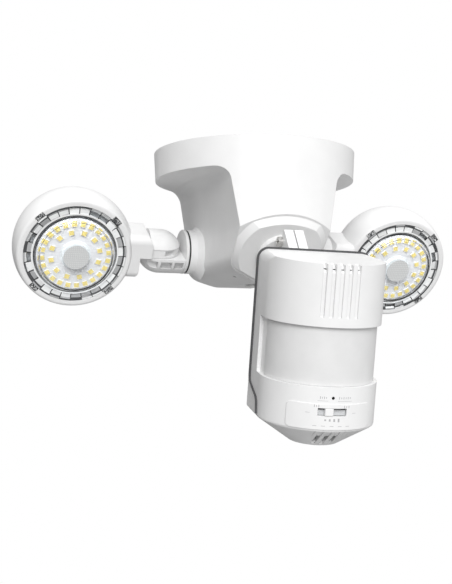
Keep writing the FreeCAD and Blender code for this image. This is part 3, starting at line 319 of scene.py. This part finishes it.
# ---------------------------------------------------------------- LEDs
def crowned_square(shape, place, half, base, crown, steps=6):
    """Closed square pad whose top swells by crown in the middle."""
    grid = []
    for i in range(steps + 1):
        row = []
        for j in range(steps + 1):
            x, y = (2.0 * i / steps - 1) * half, (2.0 * j / steps - 1) * half
            lift = crown * (1 - (x / half) ** 4) * (1 - (y / half) ** 4)
            row.append(shape.verts.new(place @ Vector((x, y, base + lift))))
        grid.append(row)
    faces = [shape.faces.new((grid[i][j], grid[i + 1][j], grid[i + 1][j + 1], grid[i][j + 1]))
             for i in range(steps) for j in range(steps)]
    return faces


def led_package(shape, place):
    """Ceramic tray with a sloping inner wall, filled with a crowned phosphor pad."""
    half, top = LED_SIDE / 2, TRAY_TOP
    rings = []
    for reach, z in ((half, 0.0), (half, top - TRAY_EDGE), (half - TRAY_EDGE, top),
                     (half - TRAY_RIM, top), (half - PAD_INSET, top - PAD_SINK)):
        rings.append([shape.verts.new(place @ Vector((sx * reach, sy * reach, z)))
                      for sx, sy in ((-1, -1), (1, -1), (1, 1), (-1, 1))])
    for low, high in zip(rings, rings[1:]):
        for k in range(4):
            shape.faces.new((low[k], low[(k + 1) % 4], high[(k + 1) % 4], high[k]))
    shape.faces.new(rings[0][::-1])
    pad = crowned_square(shape, place, half - PAD_INSET, top - PAD_SINK, PAD_CROWN)
    for face in pad:
        face.material_index = 1
        face.smooth = True


def led_field(side):
    shape = bmesh.new()
    for count, radius, start in LED_RINGS:
        for i in range(count):
            turn = Matrix.Rotation(math.radians(start + 360.0 * i / count), 4, "Z")
            led_package(shape, turn @ Matrix.Translation((radius, 0, BOARD_TOP)))
    bmesh.ops.remove_doubles(shape, verts=shape.verts, dist=1e-6)
    made = piece(side + "_led_packages", shape, side + "_head",
                 (CERAMIC, MATERIALS["led_phosphor"]), lamp_place(side))
    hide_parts(side + "_leds")


# ---------------------------------------------------------------- clear ring and cup
def ring_columns():
    """Angle and height rules of every radial line of the ribbed ring: (angle, kind, cell)."""
    pitch = math.tau / RING_CELLS
    return [((cell + part) * pitch, kind, cell)
            for cell in range(RING_CELLS) for part, kind in RING_PARTS]


def ribbed_ring(side):
    """Clear ring of separate prism cells with painted shadow in the gaps and painted light and shade on the cells,
    and its four bezel tabs.
    """
    shape = bmesh.new()
    tilts = [(random.uniform(-SLOPE_MM, SLOPE_MM), random.uniform(-TWIST_MM, TWIST_MM))
             for _ in range(RING_CELLS)]
    # Each cell draws one set of painted light and shade for its faces.
    cell_light_and_shade = [random.choice(CELL_LOOKS) for _ in range(RING_CELLS)]
    floor, plateau = RING_TOP - GAP_DEPTH, RING_TOP - CELL_DEPTH
    levels = ((RING_INNER, 0), (RING_INNER + 1.0 * MM, 0), (RING_INNER + 1.2 * MM, 1),
              (RING_OUTER - 1.9 * MM, 2), (RING_OUTER - 1.0 * MM, 0), (RING_OUTER, 0))
    columns = []
    for angle, kind, cell in ring_columns():
        out = Vector((math.cos(angle), math.sin(angle), 0))
        share = (angle * RING_CELLS / math.tau - cell - 0.5) * 2
        column = [shape.verts.new(out * RING_INNER + Vector((0, 0, RING_FOOT)))]
        for radius, rule in levels:
            height = RING_TOP
            if rule and kind == "gap":
                height = floor
            elif rule:
                slope, twist = tilts[cell]
                height = plateau + (slope * (2 * rule - 3) + twist * share) * MM
            column.append(shape.verts.new(out * radius + Vector((0, 0, height))))
        column.append(shape.verts.new(out * RING_OUTER + Vector((0, 0, RING_FOOT))))
        columns.append((column, kind, cell))
    for k, (column, kind, cell) in enumerate(columns):
        other, other_kind, _ = columns[(k + 1) % len(columns)]
        for i in range(len(column)):
            j = (i + 1) % len(column)
            face = shape.faces.new((column[i], column[j], other[j], other[i]))
            # Painted light and shade: gap faces get painted shadow, cell faces their cell's set.
            face.material_index = COLUMN_LOOKS[i]
            if COLUMN_LOOKS[i] == CLEAR:
                face.material_index = PAINTED_SHADOW if "gap" in (kind, other_kind) else cell_light_and_shade[cell][i - 2]
    for i in range(4):
        bezel_tab(shape, Matrix.Rotation(math.radians(45 + 90 * i), 4, "Z"))
    made = piece(side + "_ribbed_ring", shape, side + "_head",
                 (MATERIALS["clear_plastic"], SHADE_TINTED_CLEAR, HALF_SHADE_CLEAR, LIGHT_PAINTED_WHITE, SHADOW_LINE, SHADE_PAINTED_FACET),
                 lamp_place(side))
    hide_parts(side + "_lens_ring")


def bezel_tab(shape, turn):
    """Small clear tab with a raised grip and two moulded dimples; its faces carry painted shade and painted
    highlights.
    """
    start, steps = RING_OUTER + 0.1 * MM, TAB_STEPS
    rows = []
    for i in range(steps + 1):
        x = start + (TAB_REACH - start) * i / steps
        row = []
        for j in range(steps + 1):
            y = TAB_HALF * (2.0 * j / steps - 1)
            near = min(math.hypot(x - 0.5 * (start + TAB_REACH), abs(y) - DIMPLE_Y) / DIMPLE_R, 1.0)
            edge = TAB_EDGE if i in (0, steps) or j in (0, steps) else 0.0
            height = TAB_TOP - edge - DIMPLE_DEPTH * (1 - near)
            row.append(shape.verts.new(turn @ Vector((x, y, height))))
        rows.append(row)
    low = {}
    rim = [(i, 0) for i in range(steps)] + [(steps, j) for j in range(steps)] \
        + [(i, steps) for i in range(steps, 0, -1)] + [(0, j) for j in range(steps, 0, -1)]
    for i, j in rim:
        corner = rows[i][j].co.copy()
        corner.z = TAB_FOOT
        low[i, j] = shape.verts.new(corner)
    for i in range(steps):
        for j in range(steps):
            face = shape.faces.new((rows[i][j], rows[i + 1][j], rows[i + 1][j + 1], rows[i][j + 1]))
            # Random painted shade and painted highlights on the tab top.
            face.material_index = random.choice(TAB_LOOKS)
    for (i, j), (m, n) in zip(rim, rim[1:] + rim[:1]):
        face = shape.faces.new((rows[i][j], rows[m][n], low[m, n], low[i, j]))
        # Tab sides and bottom: painted shade.
        face.material_index = PAINTED_SHADE
    shape.faces.new([low[key] for key in rim]).material_index = PAINTED_SHADE


def clear_cup(side):
    """Turned clear cup with a frosted spot; its front and foot corners show as dark rings of painted shadow,
    standing in for refraction there.
    """
    shape = bmesh.new()
    rings = []
    for radius, height in CUP_PROFILE:
        if radius == 0:
            rings.append([shape.verts.new((0, 0, height * MM))])
            continue
        spokes = [math.tau * k / CUP_SPOKES for k in range(CUP_SPOKES)]
        rings.append([shape.verts.new((radius * MM * math.cos(angle), radius * MM * math.sin(angle),
                                       height * MM)) for angle in spokes])
    for i, (a, b) in enumerate(zip(rings, rings[1:])):
        for k in range(CUP_SPOKES):
            n = (k + 1) % CUP_SPOKES
            corners = [a[k], a[n % len(a)], b[n % len(b)], b[k % len(b)]] if len(a) > 1 else \
                [a[0], b[n], b[k]]
            face = shape.faces.new(list(dict.fromkeys(corners)))
            face.smooth = True
            # The front and foot edge bands get the painted shadow rings.
            face.material_index = CUP_BANDS.get(i, 0)
    made = piece(side + "_clear_cup", shape, side + "_head",
                 (MATERIALS["clear_plastic"], SHADOW_LINE, FROSTED_SPOT), lamp_place(side))
    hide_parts(side + "_lens_cover")


# ---------------------------------------------------------------- printed marks on the sensor
def panel_bar(shape, x, z, width, height):
    """Thin printed bar that follows the round front, centred at x and z."""
    on_panel = PANEL_BOTTOM < z < PANEL_TOP and abs(x) < PANEL_HALF
    radius = SENSOR_R + INK_LIFT + (PANEL_RISE if on_panel else 0)
    steps = max(2, int(width / (0.6 * MM)))
    columns = []
    for i in range(steps + 1):
        angle = (x - width / 2 + width * i / steps) / radius
        out = Vector((math.sin(angle), -math.cos(angle), 0))
        columns.append([shape.verts.new(out * r + Vector((0, SENSOR_AXIS_Y, zz)))
                        for r in (radius - INK_DEPTH, radius) for zz in (z - height / 2, z + height / 2)])
    for a, b in zip(columns, columns[1:]):
        for p, q in ((0, 1), (1, 3), (3, 2), (2, 0)):
            shape.faces.new((a[p], a[q], b[q], b[p]))
    shape.faces.new((columns[0][0], columns[0][2], columns[0][3], columns[0][1]))
    shape.faces.new((columns[-1][0], columns[-1][1], columns[-1][3], columns[-1][2]))


def panel_marks():
    """Generic tick marks beside the eye and round the slide switch."""
    shape = bmesh.new()
    for x, z, count, pitch in TICK_ROWS:
        for i in range(count):
            along = (x + (i - (count - 1) / 2) * pitch) * MM
            panel_bar(shape, along, z * MM, TICK_WIDTH, TICK_HEIGHTS[i] * MM)
    for x, z, width in UNDERLINES:
        panel_bar(shape, x * MM, z * MM, width * MM, 0.14 * MM)
    for i in range(4):
        panel_bar(shape, (i - 1.5) * 2.3 * MM, -79.6 * MM, 0.9 * MM, (0.8 + 0.3 * i) * MM)
    for i in range(5):
        panel_bar(shape, (i - 2) * 4.3 * MM, -82.6 * MM, 2.0 * MM, 0.22 * MM)
    for x in (-12.5, 12.0):
        panel_bar(shape, x * MM, -76.2 * MM, 2.2 * MM, 0.16 * MM)
    piece("panel_marks", shape, "sensor_head", (INK,), sensor_place())


# ---------------------------------------------------------------- stage
def studio():
    """Round pale floor that fades out into the white surroundings."""
    floor_z, reach, spokes = -1.5, 1.5, 96
    shape = bmesh.new()
    bmesh.ops.create_circle(shape, cap_ends=True, segments=spokes, radius=reach,
                            matrix=Matrix.Translation((0, 0, floor_z)))
    mesh = bpy.data.meshes.new("floor")
    shape.to_mesh(mesh)
    shape.free()
    floor = bpy.data.objects.new("floor", mesh)
    bpy.context.scene.collection.objects.link(floor)
    g = Graph("pale_floor")
    cloud = g.span(g.noise(0.4, 2.0), 0.0, 1.0)
    g.set(Base_Color=g.blend(cloud, (0.72, 0.72, 0.72), (0.76, 0.76, 0.76)), Roughness=0.9)
    flat = g.node("VectorMath", {0: g.place, 1: (1, 1, 0)}, operation="MULTIPLY")
    far = g.node("VectorMath", {0: flat.outputs[0]}, operation="LENGTH").outputs["Value"]
    g.set(Alpha=g.span(far, 1.0, 0.0, 0.45 * reach, 0.97 * reach))
    mesh.materials.append(g.material)


def sky():
    """White surroundings; as a lamp they are bright to the upper front right and dim behind."""
    world = bpy.data.worlds.new("studio")
    bpy.context.scene.world = world
    world.use_nodes = True
    tree = world.node_tree
    place = tree.nodes.new("ShaderNodeTexCoord")
    toward = tree.nodes.new("ShaderNodeVectorMath")
    toward.operation = "DOT_PRODUCT"
    toward.inputs[1].default_value = Vector((0.25, -0.50, 0.83)).normalized()
    tree.links.new(place.outputs["Generated"], toward.inputs[0])
    glow = tree.nodes.new("ShaderNodeMapRange")
    glow.inputs["From Min"].default_value = -1.0
    glow.inputs["To Min"].default_value = 0.06
    glow.inputs["To Max"].default_value = 0.85
    tree.links.new(toward.outputs["Value"], glow.inputs["Value"])
    ray = tree.nodes.new("ShaderNodeLightPath")
    strength = tree.nodes.new("ShaderNodeMix")
    strength.inputs[3].default_value = 1.0
    tree.links.new(ray.outputs["Is Camera Ray"], strength.inputs[0])
    tree.links.new(glow.outputs["Result"], strength.inputs[2])
    back = tree.nodes["Background"]
    back.inputs["Color"].default_value = (1, 1, 1, 1)
    tree.links.new(strength.outputs[0], back.inputs["Strength"])


def sun(name, toward, softness, power):
    """Soft even light that comes from the direction toward."""
    data = bpy.data.lights.new(name, "SUN")
    data.angle = math.radians(softness)
    data.energy = power
    made = bpy.data.objects.new(name, data)
    bpy.context.scene.collection.objects.link(made)
    made.rotation_euler = Vector(toward).to_track_quat("Z", "Y").to_euler()


def lights():
    sun("key", (-0.24, -0.87, 0.43), 35.0, 2.4)
    sun("top", (0.3, -0.1, 1.0), 60.0, 0.5)


def camera():
    data = bpy.data.cameras.new("camera")
    focal_px, frame_px, sensor_mm = 1050.0, 584, 36.0
    data.sensor_fit = "VERTICAL"
    data.sensor_height = sensor_mm
    data.lens = focal_px / frame_px * sensor_mm
    made = bpy.data.objects.new("camera", data)
    bpy.context.scene.collection.objects.link(made)
    made.location = Vector((-222.9, -606.0, -132.7)) * MM
    made.rotation_euler = (math.radians(94.24), 0, math.radians(-18.65))
    bpy.context.scene.camera = made


def dress_frame():
    """Gives each CAD node the material of its slot in the record."""
    for entry in RECORD["subparts"]:
        node = frame["nodes"][entry["node"]]
        node.data.materials.clear()
        node.data.materials.append(MATERIALS[entry["material_slot"]])


random.seed(7)
dress_frame()
for lamp_side in ("left", "right"):
    led_field(lamp_side)
    ribbed_ring(lamp_side)
    clear_cup(lamp_side)
panel_marks()
studio()
sky()
lights()
camera()
bpy.context.scene.view_settings.view_transform = "Standard"
